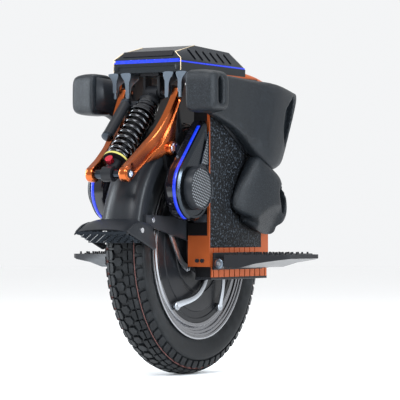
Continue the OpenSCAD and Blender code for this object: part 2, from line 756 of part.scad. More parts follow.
handle_r = 7;
handle_pts = [[head_back - 8, head_z + 9], [176, head_z + 2], [244, head_z - 14]];
module tube(a, b, r) {
    v = b - a;
    translate(a) rotate([0, acos(v[2] / norm(v)), atan2(v[1], v[0])]) cylinder(h = norm(v), r = r, $fn = 48);
}
handle_x = 62;       // half the width of the handle
function handle_at(i) = [handle_x, handle_pts[i][0], handle_pts[i][1]];
module rear_handle() {
    color([0.85, 0.35, 0.15]) from_axle() {
        pair() for (i = [0, 1]) {
            tube(handle_at(i), handle_at(i + 1), handle_r);
            translate(handle_at(i + 1)) sphere(handle_r + 0.6, $fn = 32);
        }
        bar(-handle_x, handle_x, handle_r, handle_pts[2]);
    }
}
module tail_light() {
    color([0.7, 0.05, 0.05]) from_axle() block([-50, head_back, head_z + 3], [50, head_back + 4, head_z + 15]);
}

// ---- Pedals ----

hinge_front = -68;
ear_w = 12;
ear_r = 10;
module pedal_hangers() {
    y1 = hinge_front + pedal_l;
    color([0.08, 0.08, 0.09]) from_axle() pair() difference() {
        union() {
            block([side_x + 0.2, hinge_front, hinge_z - 12], [side_x + 3.7, y1, hinge_z + 22]);
            for (y = [hinge_front, y1 - ear_w]) {
                block([side_x + 1, y, hinge_z - ear_r], [hinge_x, y + ear_w, hinge_z + ear_r]);
                translate([hinge_x, y, hinge_z]) rotate([-90, 0, 0]) cylinder(h = ear_w, r = ear_r);
            }
        }
        translate([hinge_x, hinge_front - 1, hinge_z]) rotate([-90, 0, 0])
            cylinder(h = pedal_l + 2, r = pin_d / 2);
    }
}
module hinge_pins() {
    color("silver") from_axle() {
        pair() translate([hinge_x, hinge_front - 1.5, hinge_z]) rotate([-90, 0, 0])
            cylinder(h = pedal_l + 3, r = pin_d / 2);
        bar(-top_eye - 8, top_eye + 8, 5, shock_top);
    }
}
module pedal_plan() {
    x = hinge_x;
    y0 = hinge_front;
    y1 = y0 + pedal_l;
    w = pedal_w;
    polygon([[x + 11, y0], [x + w - 8, y0 + 28], [x + w + 11, y0 + 48], [x + w + 11, y1 - 34],
             [x + w - 8, y1 - 14], [x + 11, y1]]);
}
module pedal() {
    x = hinge_x;
    z = hinge_z + 18;
    difference() {
        union() {
            intersection() {
                translate([0, 0, z - 40]) linear_extrude(50) pedal_plan();
                translate([0, 300, 0]) rotate([90, 0, 0]) linear_extrude(600)
                    polygon([[x + 11, z], [x + pedal_w + 12, z], [x + pedal_w + 12, z - 8],
                             [x + pedal_w - 50, z - 17], [x + 40, z - pedal_t], [x + 11, z - pedal_t]]);
            }
            block([x - 2, hinge_front + ear_w + seam, hinge_z - 8],
                  [x + 12, hinge_front + pedal_l - ear_w - seam, hinge_z + 9]);
            translate([x, hinge_front + ear_w + seam, hinge_z]) rotate([-90, 0, 0])
                cylinder(h = pedal_l - 2 * ear_w - 2 * seam, r = 9);
            // Studs that grip the sole
            for (i = [0:4], j = [0:5])
                translate([x + 26 + i * 22, hinge_front + 30 + i * 3 + j * (pedal_l - 66 - 4 * i) / 5, z - 2])
                    cylinder(h = 7, r = 2);
        }
        translate([x, hinge_front, hinge_z]) rotate([-90, 0, 0]) cylinder(h = pedal_l, r = pin_d / 2 + run_gap);
    }
}
module pedal_left() { color([0.07, 0.07, 0.08]) from_axle() pedal(); }
module pedal_right() { color([0.07, 0.07, 0.08]) from_axle() right_hand() pedal(); }
case_left();
case_right();
grip_panel_left();
grip_panel_right();
heat_plates();
base_rails();
battery_packs();
head_tray();
head_cover();
head_light_strips();
headlight_panel();
control_board();
display();
power_button();
claw_plates();
shock_mount();
hinge_pins();
upper_pad_left();
upper_pad_right();
lower_pad_left();
lower_pad_right();
pad_plates();
pod_left();
pod_right();
pod_light_strips();
speakers();
speaker_grilles();
mesh_inserts();
guide_rods();
rocker_brackets();
rear_handle();
tail_light();
pedal_hangers();
case_bolts();
fork_left();
fork_right();
front_mudguard();
fender_lip();
fender_bolts();
rear_mudguard();
axle();
axle_clamps();
motor_stator();
tyre();
rim();
motor_covers();
hub_spokes();
wheel_bearings();
rocker_arm_left();
rocker_arm_right();
cross_shaft();
shaft_sleeves();
pivot_bolts();
shock_body();
shock_spring();
shock_shaft();
rebound_knob();
pedal_left();
pedal_right();
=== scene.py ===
# %% [markdown]
# # Electric unicycle: looks over a fixed CAD frame
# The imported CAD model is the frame. Some of its nodes are shown as they are, with small bevels; others are
# replaced by finer surfaces made here from formulas. Lengths inside the shape functions are millimetres from
# the wheel's axle, with the front towards -Y and the rider's left towards +X.

# %% Imports and the frame
import math

import bpy
import numpy as np
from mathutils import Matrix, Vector


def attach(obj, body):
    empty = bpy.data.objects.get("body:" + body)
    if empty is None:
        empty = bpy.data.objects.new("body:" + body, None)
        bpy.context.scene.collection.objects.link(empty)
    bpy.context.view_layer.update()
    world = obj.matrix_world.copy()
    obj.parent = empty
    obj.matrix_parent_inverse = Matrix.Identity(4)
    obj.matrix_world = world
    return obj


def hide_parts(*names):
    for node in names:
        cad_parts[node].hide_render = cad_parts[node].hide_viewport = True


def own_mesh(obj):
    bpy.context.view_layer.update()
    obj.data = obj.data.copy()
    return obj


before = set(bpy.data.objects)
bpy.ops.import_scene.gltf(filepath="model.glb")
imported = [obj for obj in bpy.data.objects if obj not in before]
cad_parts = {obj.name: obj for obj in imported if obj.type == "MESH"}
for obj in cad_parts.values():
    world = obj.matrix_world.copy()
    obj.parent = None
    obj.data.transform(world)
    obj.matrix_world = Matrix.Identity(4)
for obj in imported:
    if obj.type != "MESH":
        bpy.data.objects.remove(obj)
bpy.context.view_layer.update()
AXLE = np.array([0.0, 28.5, 254.0])
EAR, FOOT, TIP = np.array([-155.0, 196.0]), np.array([-281.9, 143.9]), np.array([-127.8, 310.1])
SHOCK_TOP = np.array([-115.8, 308.1])

# %% [markdown]
# ## Shells
# A shell is a pair (vertices, faces). Every shell is closed, and `shell` turns it so that its normals
# face outwards, by the sign of its volume. Grids of points become quads, and an open end of a grid is
# closed with one polygon.


# %% Shell helpers
def shell(grid, ends=True, around=True):
    """Closed surface over grid[i, j]: j runs round each ring, i runs from ring to ring.
    With ends, the first and last rings are capped; without, the last ring joins the first."""
    grid = np.asarray(grid, float)
    n, m = grid.shape[:2]
    i = np.arange(n - 1 if ends else n)[:, None]
    j = np.arange(m if around else m - 1)[None, :]
    a, b = i * m + j, i * m + (j + 1) % m
    c, d = (i + 1) % n * m + (j + 1) % m, (i + 1) % n * m + j
    quads = np.stack([a, b, c, d], -1).reshape(-1, 4)
    verts = grid.reshape(-1, 3)
    tri = verts[np.concatenate([quads[:, [0, 1, 2]], quads[:, [0, 2, 3]]])]
    volume = np.einsum("ij,ij->i", tri[:, 0], np.cross(tri[:, 1], tri[:, 2])).sum()
    faces = [tuple(q) for q in quads.tolist()]
    if ends:
        low, high = list(range(m))[::-1], [(n - 1) * m + k for k in range(m)]
        for ring in (low, high):
            p = verts[ring]
            volume += np.einsum("ij,ij->i", np.repeat(p[:1], m - 2, 0), np.cross(p[1:-1], p[2:])).sum()
            faces.append(tuple(ring))
    return (verts, faces if volume > 0 else [f[::-1] for f in faces])


def merge(*shells):
    """Several shells as one."""
    verts, faces, base = [], [], 0
    for v, f in shells:
        verts.append(v)
        faces += [tuple(k + base for k in face) for face in f]
        base += len(v)
    return np.concatenate(verts), faces


def mirrored(s):
    """The shell on the other side of the unicycle."""
    return s[0] * [-1, 1, 1], [f[::-1] for f in s[1]]


def both(s):
    return merge(s, mirrored(s))


def curve(points, n, closed=False):
    """n points on a Catmull-Rom curve through the given ones, evenly spread by index."""
    p = np.asarray(points, float)
    if closed:
        p = np.concatenate([p[-1:], p, p[:2]])
    else:
        p = np.concatenate([2 * p[:1] - p[1:2], p, 2 * p[-1:] - p[-2:-1]])
    t = np.linspace(0, len(p) - 3, n, endpoint=not closed)
    k = np.minimum(t.astype(int), len(p) - 4)
    u = (t - k)[:, None]
    a, b, c, d = p[k], p[k + 1], p[k + 2], p[k + 3]
    return 0.5 * (2 * b + (c - a) * u + (2 * a - 5 * b + 4 * c - d) * u**2 + (3 * b - a - 3 * c + d) * u**3)


def rounded(points, radius, n=5):
    """A polygon's corners rounded with quadratic arcs."""
    p = np.asarray(points, float)
    out = []
    for k in range(len(p)):
        a, b, c = p[k - 1], p[k], p[(k + 1) % len(p)]
        ra = min(radius, np.linalg.norm(a - b) * 0.48)
        rc = min(radius, np.linalg.norm(c - b) * 0.48)
        s, e = b + (a - b) / np.linalg.norm(a - b) * ra, b + (c - b) / np.linalg.norm(c - b) * rc
        t = np.linspace(0, 1, n)[:, None]
        out.append((1 - t) ** 2 * s + 2 * t * (1 - t) * b + t**2 * e)
    return np.concatenate(out)


def lathe(profile, n=160, start=0.0, turn=360.0):
    """A closed section [(radius, x)] turned about the axle."""
    p = np.asarray(profile, float)
    whole = turn >= 360
    a = np.radians(start + np.linspace(0, turn, n, endpoint=not whole))[:, None]
    g = np.stack([np.broadcast_to(p[:, 1], (n, len(p))), p[:, 0] * np.cos(a), p[:, 0] * np.sin(a)], -1)
    return shell(g, ends=not whole)


def drum(profile, centre, axis, n=40):
    """A solid of revolution about any line: profile [(radius, height)] from its low end to its high end."""
    p = np.asarray(profile, float)
    z = np.asarray(axis, float) / np.linalg.norm(axis)
    x = np.cross(z, [0.31, 0.17, 0.93])
    x /= np.linalg.norm(x)
    y = np.cross(z, x)
    a = np.linspace(0, 2 * math.pi, n, endpoint=False)
    ring = np.cos(a)[:, None] * x + np.sin(a)[:, None] * y
    return shell(np.asarray(centre, float) + p[:, :1, None] * ring + p[:, 1:, None] * z)


def puck(x0, x1, r, p, c=1.0, n=40):
    """A bar across the unicycle at p = (y, z) with its rims rounded by c."""
    d = x1 - x0
    return drum([(r - c, 0), (r - 0.3 * c, 0.3 * c), (r, c), (r, d - c), (r - 0.3 * c, d - 0.3 * c),
                 (r - c, d)],
                (x0, p[0], p[1]), (1, 0, 0), n)


def slab(outline, x0, x1, c=1.0):
    """A plate with an outline in (y, z), from x0 to x1, its rims rounded by c."""
    o = np.asarray(outline, float)
    d = np.roll(o, -1, 0) - np.roll(o, 1, 0)
    nrm = np.stack([d[:, 1], -d[:, 0]], -1) / np.linalg.norm(d, axis=1)[:, None]
    area = (o[:, 0] * np.roll(o[:, 1], -1) - np.roll(o[:, 0], -1) * o[:, 1]).sum()
    nrm *= 1 if area > 0 else -1
    ring = lambda k, x: np.column_stack([np.full(len(o), x), o - nrm * k])
    s = 1 if x1 > x0 else -1
    return shell([ring(c, x0), ring(0.3 * c, x0 + 0.3 * s * c), ring(0, x0 + s * c), ring(0, x1 - s * c),
                  ring(0.3 * c, x1 - 0.3 * s * c), ring(c, x1)])


def sweep(path, section, up=(1, 0, 0), closed=False):
    """Section points (a, b) carried along a path: a lies along up, b across both. Both may vary on the way."""
    p = np.asarray(path, float)
    t = np.roll(p, -1, 0) - np.roll(p, 1, 0) if closed else np.gradient(p, axis=0)
    t /= np.linalg.norm(t, axis=1)[:, None]
    up = np.broadcast_to(np.asarray(up, float), p.shape)
    a = up - (t * up).sum(1)[:, None] * t
    a /= np.linalg.norm(a, axis=1)[:, None]
    b = np.cross(t, a)
    s = np.asarray(section, float)
    s = np.broadcast_to(s, (len(p),) + s.shape[-2:])
    return shell(p[:, None] + s[:, :, :1] * a[:, None] + s[:, :, 1:] * b[:, None], ends=not closed)


def circle(r, n=16):
    a = np.linspace(0, 2 * math.pi, n, endpoint=False)
    return np.column_stack([r * np.cos(a), r * np.sin(a)])


def brick(a, b, c=0.8):
    """A block between two corners with rounded upright edges, seen along X."""
    return slab(rounded([(a[1], a[2]), (b[1], a[2]), (b[1], b[2]), (a[1], b[2])], c, 3), a[0], b[0],
                min(c, abs(b[0] - a[0]) * 0.3))


# %% [markdown]
# ## Pieces
# `piece` makes the object, gives it its finish, hangs it on the CAD body it moves with and hides the CAD
# nodes it replaces. `dress` puts a finish on a CAD node and rounds its edges: a Weld joins the imported
# triangles, then a Bevel follows.

# %% Piece helpers
FINISH = {}


def piece(name, s, body, finish, replaces=(), bevel=0.0, smooth=True, place=True):
    """An object from a shell, on a CAD body, with its finish."""
    verts = (s[0] + AXLE) / 1000 if place else s[0]
    mesh = bpy.data.meshes.new(name)
    mesh.from_pydata(verts.tolist(), [], s[1])
    mesh.validate()
    mesh.polygons.foreach_set("use_smooth", [smooth] * len(mesh.polygons))
    if smooth:
        mesh.set_sharp_from_angle(angle=math.radians(38))
    o = bpy.data.objects.new(name, mesh)
    bpy.context.scene.collection.objects.link(o)
    if bevel:
        round_edges(o, bevel)
    mesh.materials.append(FINISH[finish])
    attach(o, body)
    if replaces:
        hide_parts(*replaces)
    return o


def round_edges(o, width, angle=32):
    b = o.modifiers.new("Bevel", "BEVEL")
    b.width, b.segments, b.limit_method, b.angle_limit = width / 1000, 2, "ANGLE", math.radians(angle)
    b.harden_normals, b.use_clamp_overlap = True, True


def dress(node, finish, bevel=0.8):
    """A CAD node shown as it is, with a finish and rounded edges."""
    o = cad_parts[node]
    o.data.materials.clear()
    o.data.materials.append(FINISH[finish])
    for name in ("custom_normal", "sharp_face", "sharp_edge"):
        if name in o.data.attributes:
            o.data.attributes.remove(o.data.attributes[name])
    o.data.polygons.foreach_set("use_smooth", [True] * len(o.data.polygons))
    w = o.modifiers.new("Weld", "WELD")
    w.merge_threshold = 2e-5
    if bevel:
        round_edges(o, bevel)


# %% [markdown]
# ## Finishes
# `Sock` wraps a shader socket so that sums and products can be written as Python arithmetic. `Finish`
# starts a material with constants on its Principled shader; anything that varies is linked to base
# colour, roughness or bump.


# %% Shader helpers
class Sock:
    """A number in a shader. Arithmetic on it adds Math nodes."""

    def __init__(self, tree, out):
        self.tree, self.out = tree, out

    def math(self, op, *others):
        n = self.tree.nodes.new("ShaderNodeMath")
        n.operation = op
        for k, v in enumerate((self,) + others):
            if isinstance(v, Sock):
                self.tree.links.new(v.out, n.inputs[k])
            else:
                n.inputs[k].default_value = v
        return Sock(self.tree, n.outputs[0])

    def __add__(self, v):
        return self.math("ADD", v)

    def __sub__(self, v):
        return self.math("SUBTRACT", v)

    def __rsub__(self, v):
        return self * -1.0 + v

    def __mul__(self, v):
        return self.math("MULTIPLY", v)

    __radd__, __rmul__ = __add__, __mul__

    def between(self, low, high):
        """0 below low, 1 above high, straight in between."""
        return ((self - low) * (1.0 / (high - low))).math("MAXIMUM", 0.0).math("MINIMUM", 1.0)


class Finish:
    """A material with one Principled shader."""

    def __init__(self, name, color, rough, metal=0.0, coat=0.0, **more):
        self.mat = bpy.data.materials.new(name)
        self.mat.use_nodes = True
        self.tree = self.mat.node_tree
        self.bsdf = self.tree.nodes["Principled BSDF"]
        self.color = color
        settings = {"Base Color": (*color, 1), "Roughness": rough, "Metallic": metal, "Coat Weight": coat,
                    **more}
        for key, value in settings.items():
            self.bsdf.inputs[key].default_value = value
        FINISH[name] = self.mat

    def node(self, kind, inputs=(), **settings):
        n = self.tree.nodes.new(kind)
        for key, value in settings.items():
            setattr(n, key, value)
        for key, value in dict(inputs).items():
            if isinstance(value, Sock):
                self.tree.links.new(value.out, n.inputs[key])
            else:
                n.inputs[key].default_value = value
        return n

    def place(self, scale=(1, 1, 1)):
        """Object coordinates in metres, scaled."""
        c = Sock(self.tree, self.node("ShaderNodeTexCoord").outputs["Object"])
        return Sock(self.tree, self.node("ShaderNodeMapping", {"Vector": c, "Scale": scale}).outputs[0])

    def axes(self):
        n = self.node("ShaderNodeSeparateXYZ", {"Vector": self.place()})
        return [Sock(self.tree, o) for o in n.outputs]

    def noise(self, scale, detail=2.0, stretch=(1, 1, 1)):
        n = self.node("ShaderNodeTexNoise", {"Vector": self.place(stretch), "Scale": scale,
                                             "Detail": detail})
        return Sock(self.tree, n.outputs[0])

    def cells(self, scale, out="Distance"):
        n = self.node("ShaderNodeTexVoronoi", {"Vector": self.place(), "Scale": scale})
        return Sock(self.tree, n.outputs[out])

    def tint(self, factor, other, start=None):
        """Base colour from its constant (or a colour socket) to another, by factor."""
        n = self.node("ShaderNodeMix", data_type="RGBA")
        self.tree.links.new(factor.out, n.inputs[0])
        if start is None:
            n.inputs[6].default_value = (*self.color, 1)
        else:
            self.tree.links.new(start.out, n.inputs[6])
        n.inputs[7].default_value = (*other, 1)
        out = Sock(self.tree, n.outputs[2])
        self.tree.links.new(out.out, self.bsdf.inputs["Base Color"])
        return out

    def rough(self, value):
        self.tree.links.new(value.out, self.bsdf.inputs["Roughness"])

    def bump(self, height, distance, strength=1.0):
        n = self.node("ShaderNodeBump", {"Height": height, "Distance": distance, "Strength": strength})
        self.tree.links.new(n.outputs[0], self.bsdf.inputs["Normal"])


# %% Plastics, rubber and foam
def plastic(name, color, rough, grain=2200.0, depth=0.00004, coat=0.0):
    f = Finish(name, color, rough, coat=coat, **{"Specular IOR Level": 0.16})
    g = f.noise(grain)
    f.rough(g * 0.14 + (rough - 0.07))
    f.bump(g, depth, 0.6)
    return f


plastic("dark_plastic", (0.009, 0.0105, 0.013), 0.36)
plastic("tray_plastic", (0.007, 0.009, 0.011), 0.32)
plastic("fender_plastic", (0.009, 0.010, 0.012), 0.33)
plastic("gloss_black", (0.004, 0.004, 0.006), 0.12, 400.0, 0.00001, coat=0.6)
plastic("display_glass", (0.16, 0.19, 0.23), 0.2, 300.0, 0.00001, coat=0.5)

foam = Finish("foam", (0.0030, 0.0042, 0.0056), 0.45, **{"Specular IOR Level": 0.2})
pores = foam.cells(1500.0)
foam.tint(foam.noise(620.0, 3.0).between(0.50, 0.75), (0.024, 0.030, 0.037))
foam.rough(pores * 0.22 + 0.33)
foam.bump(pores + foam.noise(600.0, 3.0), 0.00022, 0.7)

grip = Finish("grip_tape", (0.0022, 0.0026, 0.0034), 0.5, **{"Specular IOR Level": 0.12})
grit = grip.noise(210.0, 4.0)
grip.tint(grit.between(0.54, 0.68), (0.055, 0.068, 0.085))
grip.rough(grip.noise(800.0) * 0.7 + 0.12)
grip.bump(grit + grip.cells(620.0), 0.0012, 1.0)

tyre = Finish("tyre", (0.0045, 0.0053, 0.0062), 0.5, **{"Specular IOR Level": 0.14})
dust = tyre.noise(60.0, 4.0)
tyre.tint(dust.between(0.45, 0.85) * 0.4, (0.03, 0.033, 0.036))
tyre.rough(dust * 0.35 + 0.3)
tyre.bump(tyre.noise(1600.0), 0.00006, 0.6)
print("finishes so far:", sorted(FINISH))


# %% Metals
def metal(name, color, rough, stretch=(1, 1, 1), grain=900.0, depth=0.00002, coat=0.0):
    f = Finish(name, color, rough, 1.0, coat)
    g = f.noise(grain, 3.0, stretch)
    f.rough(g * 0.16 + (rough - 0.08))
    f.bump(g, depth, 0.5)
    return f


metal("forged_copper", (0.36, 0.088, 0.025), 0.24, grain=2600.0, depth=0.000008)
case = Finish("copper_paint", (0.006, 0.006, 0.007), 0.34, 0.75)
brushed = case.noise(1200.0, 3.0, (1, 1, 0.15))
cx, cy, cz = case.axes()
wide = cx.math("ABSOLUTE")
low_front = (0.280 - cz).between(0, 0.001) * (-0.0465 - cy).between(0, 0.001)
case.tint(low_front.math("MAXIMUM", (wide - 0.0995).between(0, 0.001)), (0.40, 0.085, 0.02))
case.rough(brushed * 0.16 + 0.27)
case.bump(brushed, 0.00002, 0.5)
metal("orange_tube", (0.7, 0.15, 0.03), 0.3)
plastic("black_metal", (0.0075, 0.008, 0.0095), 0.33)
plastic("dark_metal", (0.012, 0.013, 0.0155), 0.36)
metal("spring_steel", (0.018, 0.019, 0.022), 0.16, coat=0.6)
plastic("motor_black", (0.007, 0.0075, 0.009), 0.3)
metal("grey_metal", (0.12, 0.145, 0.175), 0.38)
metal("steel", (0.62, 0.63, 0.66), 0.22)
metal("bolt_steel", (0.60, 0.66, 0.78), 0.16)
metal("rim_metal", (0.25, 0.255, 0.27), 0.2, (1, 0.2, 0.2), 900.0)
metal("bright_alloy", (0.36, 0.38, 0.41), 0.34, grain=1500.0)
metal("bezel", (0.03, 0.036, 0.044), 0.22, grain=2600.0, depth=0.000004)
metal("knob_red", (0.72, 0.05, 0.08), 0.26)
metal("winding", (0.7, 0.3, 0.12), 0.35)

led = Finish("led_blue", (0.0, 0.008, 0.2), 0.3, **{"Emission Strength": 0.62})
dots = led.cells(110.0)
glow = led.node("ShaderNodeMix", data_type="RGBA")
led.tree.links.new(dots.between(0.25, 0.6).out, glow.inputs[0])
glow.inputs[6].default_value, glow.inputs[7].default_value = (0.0, 0.06, 1.0, 1), (0.0, 0.03, 0.8, 1)
led.tree.links.new(glow.outputs[2], led.bsdf.inputs["Emission Color"])
led.rough(dots * 0.2 + 0.2)

weave = Finish("mesh", (0.012, 0.013, 0.015), 0.4, 0.6)
x, y, z = weave.axes()
u, v = (y * 0.94 + z * 0.34) * 640.0, (z * 0.94 - y * 0.34) * 980.0
wires = (u.math("SINE") * v.math("SINE")).between(0.05, 0.45)
weave.tint(wires, (0.20, 0.215, 0.235))
weave.rough(0.55 - wires * 0.25)
weave.bump(wires, 0.0006, 1.0)

plastic("label", (0.30, 0.27, 0.07), 0.4)
plastic("red_lens", (0.35, 0.01, 0.01), 0.2, 300.0, coat=0.5)
plastic("pink_line", (0.13, 0.055, 0.05), 0.6)
plastic("circuit", (0.01, 0.09, 0.04), 0.4)
plastic("battery_wrap", (0.05, 0.13, 0.3), 0.25, coat=0.3)
plastic("beige", (0.45, 0.36, 0.24), 0.45)
print("all finishes:", len(FINISH))

# %% [markdown]
# ## Tyre
# The carcass is turned from a curve through the section. Each tread block is a small polygon in (along,
# across) millimetres. `wrap` lays it over the crown: across is walked along the section curve, along
# becomes an angle, and height moves along the curve's normal.

# %% Tyre section and the wrap
half = curve([[254, 0], [252.9, 12], [249.4, 24], [243.5, 34], [236, 38.6], [226, 41.5], [213, 42],
              [199, 39.7], [189.5, 36.3]], 200)
walk = np.concatenate([[0], np.cumsum(np.linalg.norm(np.diff(half, axis=0), axis=1))])
slope = np.gradient(half, axis=0)
slope /= np.linalg.norm(slope, axis=1)[:, None]


def section_at(s, h):
    """(radius, x) at s along the section from its middle, h outside the surface."""
    a = np.abs(s)
    r, x = np.interp(a, walk, half[:, 0]), np.interp(a, walk, half[:, 1])
    nr, nx = np.interp(a, walk, slope[:, 1]), -np.interp(a, walk, slope[:, 0])
    return r + h * nr, np.sign(s) * (x + h * nx)


def wrap(polygon, pitches, shift=0.0, flip=1, deep=6.0):
    """One block repeated round the wheel: rings at the top (drawn in), just below it and at the root."""
    p = np.asarray(polygon, float)
    mid = p.mean(0)
    out = []
    for k in range(pitches):
        rings = []
        for grow, h in ((-0.9, 0.0), (0.0, -0.9), (0.5, -deep)):
            d = (p - mid) / np.linalg.norm(p - mid, axis=1)[:, None]
            q = p + d * grow
            r, x = section_at(flip * q[:, 1], h)
            a = q[:, 0] / 254 + 2 * math.pi * (k + shift) / pitches
            rings.append(np.column_stack([x, r * np.cos(a), r * np.sin(a)]))
        out.append(shell(rings))
    return out


N = 64
hexa = [(-8.5, -5.5), (0, -9.5), (8.5, -5.5), (8.5, 5.5), (0, 9.5), (-8.5, 5.5)]
inner = [(-10.0, 13.5), (-3.5, 11.0), (3.5, 11.0), (10.0, 13.5), (10.0, 20.5), (-10.0, 20.5)]
outer = [(-10.3, 22.6), (10.3, 22.6), (10.3, 29.2), (5.5, 31.0), (-5.5, 31.0), (-10.3, 29.2)]
shoulder = [(-9.2, 40.5), (-5.0, 37.6), (5.0, 37.6), (9.2, 40.5), (8.6, 54.0), (-8.6, 54.0)]
blocks = wrap(hexa, N)
for side in (1, -1):
    blocks += wrap(inner, N, 0.5, side) + wrap(outer, N, 0.5, side) + wrap(shoulder, N, 0.0, side, 4.5)
s_list = np.linspace(-walk[-1] * 0.999, walk[-1] * 0.999, 72)
drop = -5.0 * np.clip((57 - np.abs(s_list)) / 3, 0, 1) - 0.1
r, x = section_at(s_list, drop)
bead = [[183.6, 34.0], [176, 33.6], [176, 25], [185, 26], [199, 30], [214, 33], [228, 32], [240, 22],
        [244, 8]]
profile = np.concatenate([np.column_stack([r, x]), bead, [[a, -b] for a, b in bead[::-1]]])
carcass = lathe(profile, 256)
piece("tyre_carcass", carcass, "wheel", "tyre", ["tyre"])
piece("tread_blocks", merge(*blocks), "wheel", "tyre", smooth=False)
rings = [lathe([tuple(map(float, section_at(side * (34.3 + b), a))) for a,
                b in ((-5.4, -0.7), (-2.2, -0.5), (-2.2, 0.5), (-5.4, 0.7))], 200)
         for side in (1, -1)]
piece("tread_lines", merge(*rings), "wheel", "pink_line")
print("tread:", len(blocks), "blocks")

# %% [markdown]
# ## Rim, motor covers and spokes
# All are turned about the axle. The rim steps down from its lip to the motor shell. Each spoke is a flat
# bar swept along an arc that bows outwards between the hub and its bolt.

# %% Rim, covers and spokes
rim = [(164, 0), (164, 15), (172, 23), (174.8, 33.2), (176, 33.9), (182.6, 34.2), (184.2, 36),
       (183.6, 38.4), (181, 39.2), (178.4, 38.4),
       (176.6, 36), (172.4, 35.6), (171, 33.4), (166.5, 32.4), (165, 29), (161, 27.4), (159.4, 29.6),
       (158, 31), (153, 31), (151.2, 30)]
piece("rim_turned", lathe(rim + [(a, -b) for a, b in rim[:0:-1]], 200), "wheel", "rim_metal",
      ["rim"])
cover = [(23.5, 25), (151, 25), (151, 29), (150, 30), (142, 30), (140.5, 28.6), (128, 28.6), (126.5, 30.2),
         (112, 31), (92, 31.6), (90.5, 30.2),
         (86, 30.2), (84.5, 32.2), (64, 34), (57, 34), (53, 35.5), (52, 40), (50.5, 41), (34, 41),
         (32, 38.5), (23.5, 38.5)]
covers = both(lathe(cover, 128))
piece("motor_covers_turned", covers, "wheel", "motor_black", ["motor_covers"])


def spoke_bar(angle, side):
    """A flat bar from bolt to hub: its angle grows as t^1.7, its radius falls as t^1.1, its bow is a sine."""
    t = np.linspace(0, 1, 22)
    sweep_angle = np.radians(angle + 58 * t**1.7)
    radius = 144 - 80 * t**1.1
    bow = 36.2 + 5.5 * np.sin(math.pi * t) + 1.0 * t
    path = np.column_stack([side * bow, radius * np.cos(sweep_angle), radius * np.sin(sweep_angle)])
    width = 5.2 + 1.6 * (2 * t - 1) ** 2
    flat = np.array([(-1, -.8), (-1, .8), (-.8, 1), (.8, 1), (1, .8), (1, -.8), (.8, -1), (-.8, -1)])
    bar = sweep(path, flat[None] * np.stack([np.full(22, 2.0), width], -1)[:, None], up=(side, 0, 0))
    a, b = path[0], path[-1]
    eye = drum([(3.6, 0), (8.2, 0), (9, .8), (9, 3.4), (8.2, 4.2), (4.4, 4.2), (3.6, 3.4)],
               (side * 34, a[1], a[2]), (side, 0, 0), 28)
    post = drum([(6.5, -4), (7, 0)], (side * 34, a[1], a[2]), (side, 0, 0), 20)
    bolt = drum([(5, 0), (5, 4), (4, 4.6)], (side * 36.5, b[1], b[2]), (side, 0, 0), 6)
    return merge(bar, eye, post, bolt)


spokes = merge(*[spoke_bar(160 + 72 * k, side) for k in range(5) for side in (1, -1)])
piece("curved_spokes", spokes, "wheel", "bright_alloy", ["hub_spokes"])
print("wheel pieces made")

# %% [markdown]
# ## Mudguards and the front lip
# Each mudguard is a thin curved section turned through part of a circle. The lip is a closed sheet over a
# grid (u across, v forwards), two triangular cheeks and a lattice of thin crossing bars underneath.

# %% Mudguards and lip
R = 261.0
skin_out = curve([[R - 34, 45], [R - 22, 45], [R - 11.5, 41], [R - 3.6, 29], [R - 0.5, 14], [R, 0]], 30)
skin_in = curve([[R - 34, 42.5], [R - 23, 42.5], [R - 13.5, 38.8], [R - 6.2, 27.5], [R - 3.0, 13.5],
                 [R - 2.5, 0]], 30)

def flip(a):
    """The same points on the other side of the wheel's middle plane."""
    return a * [1, -1]


guard = np.concatenate([skin_out, flip(skin_out[-2::-1]), flip(skin_in), skin_in[-2::-1]])
piece("front_mudguard_skin", lathe(guard, 60, 122, 49), "carrier", "fender_plastic",
      ["front_mudguard"])
piece("rear_mudguard_skin", lathe(guard, 80, -6, 76), "carrier", "fender_plastic",
      ["rear_mudguard"])

u = np.linspace(-1, 1, 41)[None, :]
v = np.linspace(0, 1, 22)[:, None]
lx = u * (49.5 + 10.5 * np.sin(np.clip(v * 2, 0, 1) * math.pi / 2))
ly = -252 - v * (47 + 14 * u**2) - 3 * (1 - v) * (1 - u**2)
lz = 58 - 20 * v**1.6 - 4.5 * u**2 * v - 4.0 * np.abs(u) ** 8 - 2.5 * np.sin(math.pi * v) * (1 - u**2)
top = np.stack([lx, ly, lz], -1)
under = top + [0, 0.8, -3.0]
lip_top = shell(np.concatenate([top, under[:, ::-1]], 1))
cheek = slab(rounded([(-312, 33), (-288, 47), (-262, 53), (-222, 47), (-205, 4), (-212, -3)], 7), 56.5,
             60.2, 1.0)
bars = []
for k in range(-7, 8):
    for s in (1, -1):
        t = np.linspace(0, 46, 24)
        bx = k * 16.0 + s * (t - 23) * 1.1
        t, bx = t[np.abs(bx) < 56], bx[np.abs(bx) < 56]
        if len(t) > 1:
            path = [(bx[0], -311 + t[0], 31.5 - 0.36 * t[0]), (bx[-1], -311 + t[-1], 31.5 - 0.36 * t[-1])]
            bars.append(sweep(path, [(-3, -.9), (3, -.9), (3, .9), (-3, .9)], up=(0, 0, 1)))
for y0, z0 in ((-311, 31), (-265, 14.5)):
    bars.append(sweep([(-58, y0, z0), (58, y0, z0)], [(-2.5, -1.3), (2.5, -1.3), (2.5, 1.3), (-2.5, 1.3)],
                      up=(0, 0, 1)))
piece("lip_sheet", merge(lip_top, both(cheek)), "carrier", "fender_plastic",
      ["fender_lip"])
piece("lip_lattice", merge(*bars), "carrier", "bezel", smooth=False)
for node in ("fork_left", "fork_right", "axle_clamps"):
    dress(node, "dark_metal", 0.8)
dress("axle", "steel", 0.6)
dress("motor_stator", "winding", 0)
dress("wheel_bearings", "steel", 0)
dress("fender_bolts", "steel", 0.8)

